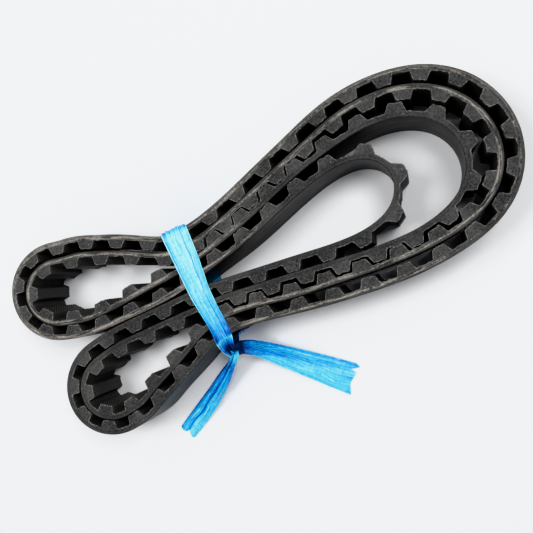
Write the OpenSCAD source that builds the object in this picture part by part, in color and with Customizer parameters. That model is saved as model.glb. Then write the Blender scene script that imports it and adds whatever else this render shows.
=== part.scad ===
/* [Track] */
// Distance from one lug to the next, along the ply
pitch = 20; // [16:0.5:24]
// Width of each track, across its lugs
track_w = 35; // [25:1:60]
// Thickness of the smooth rubber cover on the back
cover_t = 1.5; // [1:0.1:2.5]
// Thickness of the woven tension ply
ply_t = 1; // [0.6:0.1:1.6]
// Thickness of the rubber land under the ply, between lugs
land_t = 0.4; // [0.3:0.1:1]
// Thickness of the woven facing over lugs and lands
facing_t = 0.5; // [0.3:0.1:0.7]
// Height of a lug above the land beside it
lug_h = 4.8; // [3.6:0.1:6]
// Length of a lug at its root
lug_root = 11; // [9:0.5:13]
// Length of a lug at its tip
lug_tip = 7; // [5:0.5:8]
// Length of the rounding on a lug's corners
lug_round = 1.2; // [0.4:0.1:1.4]

/* [Lay] */
// Length of the innermost strand's route, from the upper lobe to the end of the loop
lay_l = 241.5; // [220:0.5:300]
// Gap between the outer track's lugs and the inner track's back
nest_gap = 0.2; // [0.1:0.05:1]
// Gap over a lug's tip where the inner track's lugs mesh
mesh_gap = 0.4; // [0.3:0.05:1.5]
// How far a lobe's tip reaches past a half circle
tip_stretch = 2.5; // [0:0.5:8]
// Slit at each line where a lobe or the loop flexes
flex_slit = 0.4; // [0.3:0.05:0.8]

/* [Tie] */
// Width of the film band round the waist
band_w = 15; // [10:0.5:20]
// Thickness of the gathered film
film_t = 0.6; // [0.4:0.1:1]
// Gap between the film and the rubber
film_gap = 0.1; // [0.05:0.05:0.4]
// Bare waist left between the band and the lugs beside it
band_margin = 0.4; // [0.3:0.1:2]
// Largest radius of the knot
knot_r = 4.5; // [3.5:0.1:6]
// Height of the knot, drawn in above and below
knot_h = 11; // [8:0.5:14]
// Radius of the knot's necks, as a share of its largest radius
knot_neck = 0.55; // [0.4:0.05:0.8]
// Depth of the knot's middle below the top of the tracks
knot_drop = 10; // [8:0.5:14]
// Gap between the knot and the root of a tail
tail_gap = 0.5; // [0.4:0.1:1]

/* [Hidden] */

// Depths below the back of a track
ply_d = cover_t + ply_t;
land_d = ply_d + land_t;
root_d = land_d + facing_t;
tip_d = root_d + lug_h;
pitch_d = cover_t + ply_t / 2;

// Route of the outer track's inner strand, and how the others stack outside it, from the upper
// lobe round the loop to the lower lobe: x, y, share of full mesh, opening between lug tips,
// extra gap under the outermost strand, extra gap over the innermost one
route = [
    [-92, 8.6, 0, 24.4, 1.6, 0],
    [-78, 4.2, 0, 25, 1.6, 0],
    [-62, 2.3, 0, 24, 1.3, 0],
    [-45, 1.6, 0, 16.7, 1, 0.6],
    [-27, 0.7, 0, 7.6, 0.8, 1.9],
    [-9, 1.5, 0.1, 0.4, 0.5, 1],
    [9, 4.8, 1, 0, 0.5, 0],
    [27, 7.4, 1, 0, 0, 0],
    [45, 11.3, 1, 0, 0, 0],
    [63, 16.2, 1, 0, 0, 0],
    [81, 20.6, 1, 0, 0.3, 0],
    [98, 23.2, 0.65, 0, 0.8, 0],
    [115, 24.8, 0.2, 0, 0.3, 0],
    [131, 22.6, 0, 0.3, 0.5, 0],
    [143.5, 16, 0, 1.5, 1.6, 0],
    [149.5, 5.5, 0, 2.6, 2, 0],
    [148, -6, 0, 2.2, 1, 0],
    [139, -14, 0.3, 0, 0.5, 0],
    [124, -18, 0.9, 0, 0.9, 0],
    [108, -17.9, 1, 0, 1.6, 0],
    [91.5, -16.1, 0.95, 0, 1.4, 0],
    [75, -13.2, 0.8, 0, 1.3, 0],
    [58.5, -10.3, 0.65, 0, 0.6, 0],
    [42, -7.6, 0.7, 0, 0, 0],
    [25.5, -4.9, 0.9, 0, 0, 0],
    [9, -2.2, 0.7, 0, 0.2, 0],
    [-9, -0.6, 0.05, 0, 0.2, 0.8],
    [-27, 0.1, 0, 9, 0, 0.3],
    [-45, 1, 0, 16, 0, 0.6],
    [-62, 1.3, 0, 22.5, 0, 0.3],
    [-78, -0.2, 0, 22.7, 0.3, 0.8]
];
// Where the small eye leaves that route, and the eye's own turn
eye_from = 9;
eye_to = 21;
eye_turn = [
    [81, 20.3], [94, 21.8], [105.5, 21.2], [115, 16.5], [120.7, 7.5],
    [119, -2.5], [112.5, -10], [102, -13.9], [90, -14.7]
];
// Stations on each side of the tie, and the samples taken between stations
tie_above = 5;
tie_below = 25;
steps = 6;
cap_steps = 28;
// Stations between which lugs of the inner track's two facing strands are set to mesh
mesh_above = [6.12, 11];
mesh_below = [17.7, 25];
// Where the outer track's first lug lies, as a share of the pitch
outer_phase = 0.37;

// Points of each tail: x and y from its root, share of the knot's height left above the floor,
// width of the film
long_tail = [
    [0, 0, 1, 7], [7.1, -5.3, 0.6, 11], [17.1, -15.8, 0.27, 15], [29.1, -28.8, 0.08, 17],
    [45.6, -45.8, 0, 18]
];
short_tail = [
    [0, 0, 1, 5], [-5.2, -4.2, 0.55, 7.5], [-17.2, -11.2, 0.24, 9.5], [-35.2, -20.2, 0.1, 10],
    [-57.2, -30.7, 0, 10.5]
];
tail_steps = 4;
// Drop of a tail's edges beside its lengthwise fold, as a share of its width
tail_fold = 0.12;

rubber = [0.2, 0.2, 0.21];
dark_rubber = [0.15, 0.15, 0.16];
textile = [0.55, 0.48, 0.42];
weave = [0.1, 0.1, 0.11];
film = [0.35, 0.78, 0.95];

// Smooth curve close to its points: a uniform cubic spline, straight past its ends
function spline_knots(p) = [
    for (i = [0:len(p) - 1])
        i == 0 || i == len(p) - 1 ? p[i] : p[i] + (2 * p[i] - p[i - 1] - p[i + 1]) / 6
];
function padded(c) = concat([2 * c[0] - c[1]], c, [2 * c[len(c) - 1] - c[len(c) - 2]]);
function spline_at(c, i, f) =
    ((1 - f) ^ 3 * c[i] + (3 * f ^ 3 - 6 * f ^ 2 + 4) * c[i + 1]
    + (3 * f ^ 2 * (1 - f) + 3 * f + 1) * c[i + 2] + f ^ 3 * c[i + 3]) / 6;
function spline(p, n) =
    let (c = padded(spline_knots(p)))
    concat(
        [for (i = [0:len(p) - 2], k = [0:n - 1]) spline_at(c, i, k / n)],
        [spline_at(c, len(p) - 2, 1)]
    );

function unit(v) = v / norm(v);
function left(v) = [-v.y, v.x];
function flat(p) = [p.x, p.y];
function normals(p) = [
    for (i = [0:len(p) - 1])
        unit(left(p[min(i + 1, len(p) - 1)] - p[max(i - 1, 0)]))
];
function beside(p, d) =
    let (n = normals(p))
    [for (i = [0:len(p) - 1]) p[i] + n[i] * d[i]];

// The four strands, each as the line of its back
lay_scale = lay_l / (max([for (p = route) p.x]) - min([for (p = route) p.x]));
guide = spline([for (p = route) concat(flat(p) * lay_scale, [p[2], p[3], p[4], p[5]])], steps);
guide_line = [for (g = guide) flat(g)];
eye_route = concat(
    [for (i = [0:eye_from]) flat(route[i])],
    eye_turn,
    [for (i = [eye_to:len(route) - 1]) flat(route[i])]
);
strand_d = spline(eye_route * lay_scale, steps);
strand_c = beside(guide_line, [for (g = guide) tip_d + nest_gap + g[5]]);
strand_b = beside(guide_line, [
    for (g = guide) 3 * tip_d + nest_gap + g[5] + g[3] - g[2] * (lug_h - mesh_gap)
]);
strand_a = beside(strand_b, [for (g = guide) tip_d + nest_gap + g[4]]);

// Half ellipse that closes a lobe, from one strand's end to another's, both ends left out
function cap(p, q) =
    let (
        middle = (p + q) / 2,
        half = (q - p) / 2,
        reach = -left(unit(half)) * (norm(half) + tip_stretch)
    )
    [
        for (k = [1:cap_steps - 1])
            let (a = 180 * k / cap_steps)
            middle - half * cos(a) + reach * sin(a)
    ];

function last(p) = p[len(p) - 1];
// Sample number, maybe between two samples, at which a strand crosses a line of constant x
function crossing(p, span, x) =
    let (order = p[span[0]].x < p[span[1]].x ? [span[0]:span[1]] : [span[1]:-1:span[0]])
    lookup(x, [for (i = order) [p[i].x, i]]);
function between(p, i) = p[floor(i)] + (p[ceil(i)] - p[floor(i)]) * (i - floor(i));
above = [(tie_above - 1) * steps, (tie_above + 2) * steps];
below = [(tie_below - 1) * steps, (tie_below + 2) * steps];
// Half length of the waist: the band's, with room for lugs that lean along the bundle beside it
guide_lean = [for (v = normals(guide_line)) abs(v.x)];
waist_lean = max([for (span = [above, below], i = [span[0]:span[1]]) guide_lean[i]]) * tip_d;
half_waist = band_w / 2 + band_margin + waist_lean;
// Closed line of one track's back, from the flex line above the tie, with its lugs on the left
function seam(outside) = crossing(outside, above, -half_waist);
function closed(outside, inside) = concat(
    [between(outside, seam(outside))],
    [for (i = [floor(seam(outside)):-1:0]) outside[i]],
    cap(outside[0], inside[0]),
    inside,
    cap(last(inside), last(outside)),
    [for (i = [len(outside) - 1:-1:ceil(seam(outside))]) outside[i]]
);

// Tables over the length along the ply: x, y and the direction from the back to the lugs
function track(p) =
    let (
        n = len(p),
        dir = [for (i = [0:n - 1]) unit(left(p[(i + 1) % n] - p[(i + n - 1) % n]))],
        q = [for (i = [0:n - 1]) p[i] + dir[i] * pitch_d],
        s = [for (i = 0, t = 0; i <= n; t = t + norm(q[(i + 1) % n] - q[i % n]), i = i + 1) t]
    )
    [
        [for (i = [0:n]) [s[i], p[i % n].x]],
        [for (i = [0:n]) [s[i], p[i % n].y]],
        [for (i = [0:n]) [s[i], dir[i % n].x]],
        [for (i = [0:n]) [s[i], dir[i % n].y]],
        s,
        [for (i = [0:n]) [i, s[i]]]
    ];
function at(t, s, d) = [
    lookup(s, t[0]) + d * lookup(s, t[2]),
    lookup(s, t[1]) + d * lookup(s, t[3])
];
function length_of(t) = last(t[4]);

outer_line = closed(strand_a, strand_d);
inner_line = closed(strand_b, strand_c);
outer = track(outer_line);
inner = track(inner_line);

// Length along a track at a sample of its inside or outside strand
function inside_start(outside) = floor(seam(outside)) + 1 + cap_steps;
function inside_length(t, outside, i) = lookup(inside_start(outside) + i, t[5]);
function outside_length(t, outside, inside, i) =
    lookup(inside_start(outside) + len(inside) - 1 + cap_steps + len(outside) - 1 - i, t[5]);
// Lengths of the eight flex lines of a track, in order round it
function cuts(t, outside, inside) =
    let (
        shift = len(inside) - len(outside),
        far = [below[0] + shift, below[1] + shift]
    )
    [
        0,
        inside_length(t, outside, crossing(inside, above, -half_waist)),
        inside_length(t, outside, crossing(inside, above, half_waist)),
        inside_length(t, outside, crossing(inside, far, half_waist)),
        inside_length(t, outside, crossing(inside, far, -half_waist)),
        outside_length(t, outside, inside, crossing(outside, below, -half_waist)),
        outside_length(t, outside, inside, crossing(outside, below, half_waist)),
        outside_length(t, outside, inside, crossing(outside, above, half_waist)),
        length_of(t)
    ];
outer_cuts = cuts(outer, strand_a, strand_d);
inner_cuts = cuts(inner, strand_b, strand_c);

// Lug middles: even round the outer track. On the inner one the inside strand keeps the pitch, the
// outside strand's lugs lie in its gaps wherever the two mesh, and the rest share what is left over
outer_lugs = round(length_of(outer) / pitch);
outer_middles = [
    for (k = [-1:outer_lugs]) (k + outer_phase) * length_of(outer) / outer_lugs
];
function pitches(s0, s1) = round((s1 - s0) / pitch);
mesh_start = inside_length(inner, strand_b, mesh_above[0] * steps);
mesh_lugs = [
    for (station = [mesh_above[1], mesh_below[0], mesh_below[1]])
        pitches(mesh_start, inside_length(inner, strand_b, station * steps))
];
samples = [for (v = inner[5]) [v[1], v[0]]];
// Length at which the outside strand faces the inside strand's n-th gap
function across_from(n) =
    let (i = lookup(mesh_start + n * pitch, samples) - inside_start(strand_b))
    outside_length(inner, strand_b, strand_c, i);
inside_end = mesh_start + mesh_lugs[2] * pitch;
lower_lugs = pitches(inside_end + pitch / 2, across_from(mesh_lugs[2])) + 0.5;
bow_lugs = pitches(across_from(mesh_lugs[1]), across_from(mesh_lugs[0]));
upper_lugs = pitches(across_from(0) + pitch / 2, length_of(inner) + mesh_start) + 0.5;
turned = 2 * mesh_lugs[2] + lower_lugs;
inner_lugs = turned - mesh_lugs[1] + bow_lugs + mesh_lugs[0] + upper_lugs;
mesh_table = concat(
    [[-upper_lugs, across_from(0) - length_of(inner)], [0, mesh_start], [mesh_lugs[2], inside_end]],
    [for (n = [mesh_lugs[2]:-1:mesh_lugs[1]]) [turned - n, across_from(n)]],
    [for (n = [mesh_lugs[0]:-1:0]) [inner_lugs - upper_lugs - n, across_from(n)]],
    [[inner_lugs, length_of(inner) + mesh_start]]
);
inner_middles = [for (k = [-floor(upper_lugs):inner_lugs]) lookup(k - 0.5, mesh_table)];

// How much longer a lug's tip is along the ply than in itself, where the track bends
function bend_ratio(t, s, d) =
    let (
        reach = lug_root / 2,
        span = norm(at(t, s + reach, d) - at(t, s - reach, d)),
        flat_span = norm(at(t, s + reach, pitch_d) - at(t, s - reach, pitch_d))
    )
    flat_span / span;
// Length and depth of the lug rubber's corners, one lug after another with two land points between
skin_in = facing_t * (sqrt(1 + ((lug_root - lug_tip) / 2 / lug_h) ^ 2) - (lug_root - lug_tip) / 2 / lug_h);
function tip_half(t, s) =
    min(lug_tip / 2 * bend_ratio(t, s, tip_d), lug_root / 2 - lug_round / 4);
function rubber_profile(t, middles) = [
    for (k = [0:len(middles) - 1])
        let (
            s = middles[k],
            root = lug_root / 2 - skin_in,
            tip = tip_half(t, s) - skin_in,
            next = k + 1 < len(middles) ? middles[k + 1] : s + pitch,
            land = next - s - 2 * root
        )
        each [
            [s - root, land_d],
            [s - tip, tip_d - facing_t],
            [s + tip, tip_d - facing_t],
            [s + root, land_d],
            [s + root + land / 3, land_d],
            [s + root + land * 2 / 3, land_d]
        ]
];
// A corner eased over the same length on both sides
function eased(p, c, q) =
    let (
        before = c + unit(p - c) * lug_round,
        after = c + unit(q - c) * lug_round
    )
    [before, before / 4 + c / 2 + after / 4, after];
function facing_profile(t, middles) = [
    for (k = [0:len(middles) - 1])
        let (
            s = middles[k],
            tip = tip_half(t, s),
            next = k + 1 < len(middles) ? middles[k + 1] : s + pitch,
            land = next - s - lug_root,
            a = [s - lug_root / 2 - land / 3, root_d],
            b = [s - lug_root / 2, root_d],
            c = [s - tip, tip_d],
            d = [s + tip, tip_d],
            e = [s + lug_root / 2, root_d],
            f = [s + lug_root / 2 + land / 3, root_d]
        )
        each concat(
            eased(a, b, c), eased(b, c, d), eased(c, d, e), eased(d, e, f),
            [f, [s + lug_root / 2 + land * 2 / 3, root_d]]
        )
];
outer_rubber = rubber_profile(outer, outer_middles);
inner_rubber = rubber_profile(inner, inner_middles);
outer_skin = facing_profile(outer, outer_middles);
inner_skin = facing_profile(inner, inner_middles);

// Line along a track between two lengths, at one depth or along a profile
function level(t, s0, s1, d) = [
    for (s = concat([s0], [for (v = t[4]) if (v > s0 + flex_slit && v < s1 - flex_slit) v], [s1]))
        at(t, s, d)
];
function along(t, s0, s1, profile) = [
    for (p = concat(
        [[s0, lookup(s0, profile)]],
        [for (v = profile) if (v[0] > s0 && v[0] < s1) v],
        [[s1, lookup(s1, profile)]]
    ))
        at(t, p[0], p[1])
];
function backward(p) = [for (i = [len(p) - 1:-1:0]) p[i]];

// Inside of the band, against the outermost strands, and the knot's axis beside it
band_spread = [for (k = [-4:4]) k / 4 * band_w / 2];
band_top = max([for (x = band_spread) between(strand_a, crossing(strand_a, above, x)).y]) + film_gap;
band_low = min([for (x = band_spread) between(strand_a, crossing(strand_a, below, x)).y]) - film_gap;
knot_at = [0, band_low - film_t - film_gap - knot_r];
knot_z = track_w - knot_drop;
// Rings of a tail's strip of film, folded lengthwise: its edges hang below its middle
function tail_rings(tail) =
    let (
        p = spline(tail, tail_steps),
        root = knot_at + unit(flat(p[1]) - flat(p[0])) * (knot_r + tail_gap),
        side = normals([for (q = p) flat(q)])
    )
    [
        for (i = [0:len(p) - 1])
            let (
                across = side[i] * p[i][3] / 2,
                fold = tail_fold * p[i][3],
                edge_z = (knot_z - fold) * max(p[i][2], 0),
                near = root + flat(p[i]) + across,
                ridge = root + flat(p[i]),
                far = root + flat(p[i]) - across
            )
            each [
                [near.x, near.y, edge_z],
                [ridge.x, ridge.y, edge_z + fold],
                [far.x, far.y, edge_z],
                [far.x, far.y, edge_z + film_t],
                [ridge.x, ridge.y, edge_z + fold + film_t],
                [near.x, near.y, edge_z + film_t]
            ]
    ];
long_rings = tail_rings(long_tail);
short_rings = tail_rings(short_tail);
// Middle of the whole bundle, seen from above
outline = concat(outer_line, long_rings, short_rings);
low = [min([for (p = outline) p.x]), min([for (p = outline) p.y])];
high = [max([for (p = outline) p.x]), max([for (p = outline) p.y])];
middle = (low + high) / 2;

// A layer's strip, standing on the floor or on the film under the waist
module strip(near, far, lift = 0) {
    translate([-middle.x, -middle.y, lift])
        linear_extrude(track_w - lift)
            polygon(concat(near, backward(far)));
}
upper_lobe = [[0, 1]];
lower_lobe = [[4, 5]];
bow = [[6, 7]];
eye = [[2, 3]];
waist = [[1, 2], [3, 4], [5, 6], [7, 8]];
function from(c, r) = c[r[0]] + flex_slit / 2;
function to(c, r) = c[r[1]] - flex_slit / 2;
function lift_of(runs) = len(runs) > 1 ? film_t : 0;
module cover(t, c, runs) {
    for (r = runs)
        strip(level(t, from(c, r), to(c, r), 0), level(t, from(c, r), to(c, r), cover_t), lift_of(runs));
}
module ply(t, c, runs) {
    for (r = runs)
        strip(level(t, from(c, r), to(c, r), cover_t), level(t, from(c, r), to(c, r), ply_d), lift_of(runs));
}
module lugs(t, c, runs, profile) {
    for (r = runs)
        strip(level(t, from(c, r), to(c, r), ply_d), along(t, from(c, r), to(c, r), profile), lift_of(runs));
}
module facing(t, c, runs, profile, skin) {
    for (r = runs)
        strip(
            along(t, from(c, r), to(c, r), profile),
            along(t, from(c, r), to(c, r), skin),
            lift_of(runs)
        );
}

module outer_upper_cover() { color(rubber) cover(outer, outer_cuts, upper_lobe); }
module outer_upper_ply() { color(textile) ply(outer, outer_cuts, upper_lobe); }
module outer_upper_lugs() { color(dark_rubber) lugs(outer, outer_cuts, upper_lobe, outer_rubber); }
module outer_upper_facing() { color(weave) facing(outer, outer_cuts, upper_lobe, outer_rubber, outer_skin); }
module outer_lower_cover() { color(rubber) cover(outer, outer_cuts, lower_lobe); }
module outer_lower_ply() { color(textile) ply(outer, outer_cuts, lower_lobe); }
module outer_lower_lugs() { color(dark_rubber) lugs(outer, outer_cuts, lower_lobe, outer_rubber); }
module outer_lower_facing() { color(weave) facing(outer, outer_cuts, lower_lobe, outer_rubber, outer_skin); }
module outer_bow_cover() { color(rubber) cover(outer, outer_cuts, bow); }
module outer_bow_ply() { color(textile) ply(outer, outer_cuts, bow); }
module outer_bow_lugs() { color(dark_rubber) lugs(outer, outer_cuts, bow, outer_rubber); }
module outer_bow_facing() { color(weave) facing(outer, outer_cuts, bow, outer_rubber, outer_skin); }
module outer_eye_cover() { color(rubber) cover(outer, outer_cuts, eye); }
module outer_eye_ply() { color(textile) ply(outer, outer_cuts, eye); }
module outer_eye_lugs() { color(dark_rubber) lugs(outer, outer_cuts, eye, outer_rubber); }
module outer_eye_facing() { color(weave) facing(outer, outer_cuts, eye, outer_rubber, outer_skin); }
module outer_waist_cover() { color(rubber) cover(outer, outer_cuts, waist); }
module outer_waist_ply() { color(textile) ply(outer, outer_cuts, waist); }
module outer_waist_lugs() { color(dark_rubber) lugs(outer, outer_cuts, waist, outer_rubber); }
module outer_waist_facing() { color(weave) facing(outer, outer_cuts, waist, outer_rubber, outer_skin); }

module inner_upper_cover() { color(rubber) cover(inner, inner_cuts, upper_lobe); }
module inner_upper_ply() { color(textile) ply(inner, inner_cuts, upper_lobe); }
module inner_upper_lugs() { color(dark_rubber) lugs(inner, inner_cuts, upper_lobe, inner_rubber); }
module inner_upper_facing() { color(weave) facing(inner, inner_cuts, upper_lobe, inner_rubber, inner_skin); }
module inner_lower_cover() { color(rubber) cover(inner, inner_cuts, lower_lobe); }
module inner_lower_ply() { color(textile) ply(inner, inner_cuts, lower_lobe); }
module inner_lower_lugs() { color(dark_rubber) lugs(inner, inner_cuts, lower_lobe, inner_rubber); }
module inner_lower_facing() { color(weave) facing(inner, inner_cuts, lower_lobe, inner_rubber, inner_skin); }
module inner_bow_cover() { color(rubber) cover(inner, inner_cuts, bow); }
module inner_bow_ply() { color(textile) ply(inner, inner_cuts, bow); }
module inner_bow_lugs() { color(dark_rubber) lugs(inner, inner_cuts, bow, inner_rubber); }
module inner_bow_facing() { color(weave) facing(inner, inner_cuts, bow, inner_rubber, inner_skin); }
module inner_eye_cover() { color(rubber) cover(inner, inner_cuts, eye); }
module inner_eye_ply() { color(textile) ply(inner, inner_cuts, eye); }
module inner_eye_lugs() { color(dark_rubber) lugs(inner, inner_cuts, eye, inner_rubber); }
module inner_eye_facing() { color(weave) facing(inner, inner_cuts, eye, inner_rubber, inner_skin); }
module inner_waist_cover() { color(rubber) cover(inner, inner_cuts, waist); }
module inner_waist_ply() { color(textile) ply(inner, inner_cuts, waist); }
module inner_waist_lugs() { color(dark_rubber) lugs(inner, inner_cuts, waist, inner_rubber); }
module inner_waist_facing() { color(weave) facing(inner, inner_cuts, waist, inner_rubber, inner_skin); }

// Flattened loop of film round the waist
module tie_band() {
    wall = film_t + film_gap;
    color(film)
        translate([-middle.x - band_w / 2, -middle.y, 0])
            rotate([90, 0, 90])
                linear_extrude(band_w)
                    difference() {
                        translate([band_low - film_t, 0])
                            square([band_top - band_low + 2 * film_t, track_w + wall]);
                        translate([band_low, film_t])
                            square([band_top - band_low, track_w - film_t + film_gap]);
                    }
}

// Film pulled tight in a knot against the band, turned round its upright axis
module tie_knot() {
    neck = knot_r * knot_neck;
    color(film)
        translate([knot_at.x - middle.x, knot_at.y - middle.y, knot_z])
            rotate_extrude($fn = 48)
                polygon([
                    [0, -knot_h / 2], [neck, -knot_h / 2],
                    for (a = [-60:15:60]) [neck + (knot_r - neck) * cos(a * 1.5), knot_h / 2 * a / 60],
                    [neck, knot_h / 2], [0, knot_h / 2]
                ]);
}

// Closed strip through the rings of a tail
module tail_strip(rings) {
    ends = len(rings) - 6;
    translate([-middle.x, -middle.y, 0])
        polyhedron(rings, concat(
            [[5, 4, 1, 0], [4, 3, 2, 1]],
            [
                for (i = [0:6:ends - 6], k = [0:5])
                    [i + k, i + (k + 1) % 6, i + (k + 1) % 6 + 6, i + k + 6]
            ],
            [[0, 1, 4, 5] + ends * [1, 1, 1, 1], [1, 2, 3, 4] + ends * [1, 1, 1, 1]]
        ));
}
module tie_long_tail() { color(film) tail_strip(long_rings); }
module tie_short_tail() { color(film) tail_strip(short_rings); }

outer_upper_cover();
outer_upper_ply();
outer_upper_lugs();
outer_upper_facing();
outer_lower_cover();
outer_lower_ply();
outer_lower_lugs();
outer_lower_facing();
outer_bow_cover();
outer_bow_ply();
outer_bow_lugs();
outer_bow_facing();
outer_eye_cover();
outer_eye_ply();
outer_eye_lugs();
outer_eye_facing();
outer_waist_cover();
outer_waist_ply();
outer_waist_lugs();
outer_waist_facing();
inner_upper_cover();
inner_upper_ply();
inner_upper_lugs();
inner_upper_facing();
inner_lower_cover();
inner_lower_ply();
inner_lower_lugs();
inner_lower_facing();
inner_bow_cover();
inner_bow_ply();
inner_bow_lugs();
inner_bow_facing();
inner_eye_cover();
inner_eye_ply();
inner_eye_lugs();
inner_eye_facing();
inner_waist_cover();
inner_waist_ply();
inner_waist_lugs();
inner_waist_facing();
tie_band();
tie_knot();
tie_long_tail();
tie_short_tail();
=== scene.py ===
"""Two endless toothed rubber tracks, nested, folded into a bundle and tied at the waist with film."""

import math

import bmesh
import bpy
import numpy as np
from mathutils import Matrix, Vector


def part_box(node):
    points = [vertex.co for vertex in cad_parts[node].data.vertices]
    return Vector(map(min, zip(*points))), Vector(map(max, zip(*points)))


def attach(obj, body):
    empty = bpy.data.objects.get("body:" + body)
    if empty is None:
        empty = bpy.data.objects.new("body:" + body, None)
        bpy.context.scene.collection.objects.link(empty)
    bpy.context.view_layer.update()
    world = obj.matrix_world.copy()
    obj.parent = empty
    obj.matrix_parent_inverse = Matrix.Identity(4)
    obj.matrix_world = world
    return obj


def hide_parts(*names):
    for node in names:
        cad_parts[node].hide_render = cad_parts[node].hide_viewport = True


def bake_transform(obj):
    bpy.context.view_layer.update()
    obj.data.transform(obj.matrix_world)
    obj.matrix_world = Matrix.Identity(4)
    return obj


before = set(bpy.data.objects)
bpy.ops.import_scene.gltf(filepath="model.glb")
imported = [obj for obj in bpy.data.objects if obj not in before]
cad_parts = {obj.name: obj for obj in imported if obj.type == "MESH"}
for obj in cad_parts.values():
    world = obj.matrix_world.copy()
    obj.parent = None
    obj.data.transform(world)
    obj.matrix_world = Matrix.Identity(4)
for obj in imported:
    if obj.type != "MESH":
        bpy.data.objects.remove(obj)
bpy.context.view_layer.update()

# The lay of the tracks: each is an endless belt, cured round a drum and slit to its width.
# Two of them stand on their cut edges, nested and folded into two lobes and a loop.
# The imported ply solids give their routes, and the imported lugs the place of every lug.
MM = 0.001
RUNS = ("upper", "eye", "lower", "bow")


def outlines(node):
    """Closed outlines of a node's top face, each with the solid on its left."""
    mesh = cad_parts[node].data
    corners = [tuple(round(c, 6) for c in v.co) for v in mesh.vertices]
    level = 0.01 * MM
    top = max(c[2] for c in corners)
    sides = set()
    for face in mesh.polygons:
        ring = [corners[i] for i in face.vertices]
        if min(c[2] for c in ring) > top - level:
            sides.update(zip(ring, ring[1:] + ring[:1]))
    rim = {a: b for a, b in sides if (b, a) not in sides}
    found = []
    while rim:
        point = min(rim)
        loop = []
        while point in rim:
            loop.append(point[:2])
            point = rim.pop(point)
        found.append(loop)
    return found


def middle_line(loop, backs):
    """Line down the middle of a strip's outline, in the direction that has the lugs on its left."""
    points = np.array(loop)
    count = len(points)
    steps = np.arange(count // 2)

    def sides(start):
        return points[(start + steps) % count], points[(start - 1 - steps) % count]

    def widest(start):
        right, left = sides(start)
        return np.linalg.norm(right - left, axis=1).max()

    right, left = sides(min(range(count), key=widest))
    line = (right + left) / 2
    return line if tuple(right[len(steps) // 2]) in backs else line[::-1]


def lengths(line):
    """Length along a line up to each of its points."""
    return np.append(0, np.cumsum(np.linalg.norm(np.diff(line, axis=0), axis=1)))


def along(line, at):
    """Points at some lengths along a line."""
    reached = lengths(line)
    return np.stack([np.interp(at, reached, line[:, k]) for k in range(line.shape[1])], axis=1)


def nearest_length(line, point):
    """Length along a line at which it passes nearest to a point, and how far off the point is."""
    start, step = line[:-1], np.diff(line, axis=0)
    share = np.clip(((point - start) * step).sum(1) / (step**2).sum(1), 0, 1)
    off = np.linalg.norm(start + step * share[:, None] - point, axis=1)
    best = off.argmin()
    reached = lengths(line)
    return reached[best] + share[best] * (reached[best + 1] - reached[best]), off[best]


def chained(lines):
    """The lines in order round the track, from the first one, each where the last one stops."""
    order = [0]
    while len(order) < len(lines):
        end = lines[order[-1]][-1]
        left_over = [i for i in range(len(lines)) if i not in order]
        order.append(min(left_over, key=lambda i: np.linalg.norm(lines[i][0] - end)))
    return order


def read_track(track):
    """Route of one track at its ply, as a closed line, and the lengths along it of lug tips and ties."""
    every, tip_share, same_tip = 7, 0.9, 1 * MM
    lines, lug_loops = [], []
    for run in RUNS + ("waist",):
        node = f"{track}_{run}"
        backs = {point for loop in outlines(node + "_cover") for point in loop}
        found = [middle_line(loop, backs) for loop in outlines(node + "_ply")]
        lines += found
        for loop in outlines(node + "_lugs"):
            points = np.array(loop)
            offs = [np.mean([nearest_length(line, p)[1] for p in points[::every]]) for line in found]
            lug_loops.append((len(lines) - len(found) + int(np.argmin(offs)), points))
    order = chained(lines)
    starts, total = {}, 0
    for place, i in enumerate(order):
        following = lines[order[(place + 1) % len(order)]][0]
        starts[i] = total
        total += lengths(lines[i])[-1] + np.linalg.norm(following - lines[i][-1])
    tips = []
    for i, points in lug_loops:
        placed = [nearest_length(lines[i], p) for p in points]
        high = tip_share * max(off for _, off in placed)
        for (s0, off0), (s1, off1) in zip(placed, placed[1:] + placed[:1]):
            if min(off0, off1) > high:
                tips.append([starts[i] + min(s0, s1), starts[i] + max(s0, s1)])
    tips.sort()
    whole = [tips[0]]
    for tip in tips[1:]:
        if tip[0] - whole[-1][1] < same_tip:
            whole[-1][1] = tip[1]
        else:
            whole.append(tip)
    if whole[0][0] + total - whole[-1][1] < same_tip:
        whole[-1][1] = whole.pop(0)[1] + total
    route = np.vstack([lines[i] for i in order] + [lines[order[0]][:1]])
    ties = [starts[i] + lengths(lines[i])[-1] / 2 for i in order if i >= len(RUNS)]
    return route, np.array(whole), ties


def smooth_ring(route, step, reach):
    """A closed line at an even step, its corners eased over a reach, and its old lengths there."""
    total = lengths(route)[-1]
    old = np.linspace(0, total, round(total / step), endpoint=False)
    points = along(route, old)
    widest = 3 * round(reach / step)
    shifts = range(-widest, widest + 1)
    weights = [math.exp(-((k * step / reach) ** 2) / 2) for k in shifts]
    return sum(w * np.roll(points, k, axis=0) for w, k in zip(weights, shifts)) / sum(weights), old


def fade(value, begins, whole):
    """How far a value has come from one mark to another, from 0 to 1."""
    return np.clip((value - begins) / (whole - begins), 0, 1)


def bare_cord(track, run, place):
    """How much of its cord the knife left bare in a track's edge, from 0 to 1."""
    x, y = place / MM
    if run == "upper":
        return 0.9
    if run == "lower":
        return 0.06
    if run == "eye":
        return 0.12 + 0.75 * fade(y, begins=5, whole=20) * fade(x, begins=25, whole=-20)
    before_bend = fade(x, begins=110, whole=70)
    upper = before_bend * fade(y, begins=0, whole=15)
    lower = before_bend * fade(y, begins=0, whole=-15)
    at_tie = upper * fade(x, begins=40, whole=-20)
    if track == "outer":
        return 0.5 + 0.1 * upper + 0.25 * at_tie + 0.3 * lower
    return 0.85 - 0.25 * (upper - at_tie)


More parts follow.
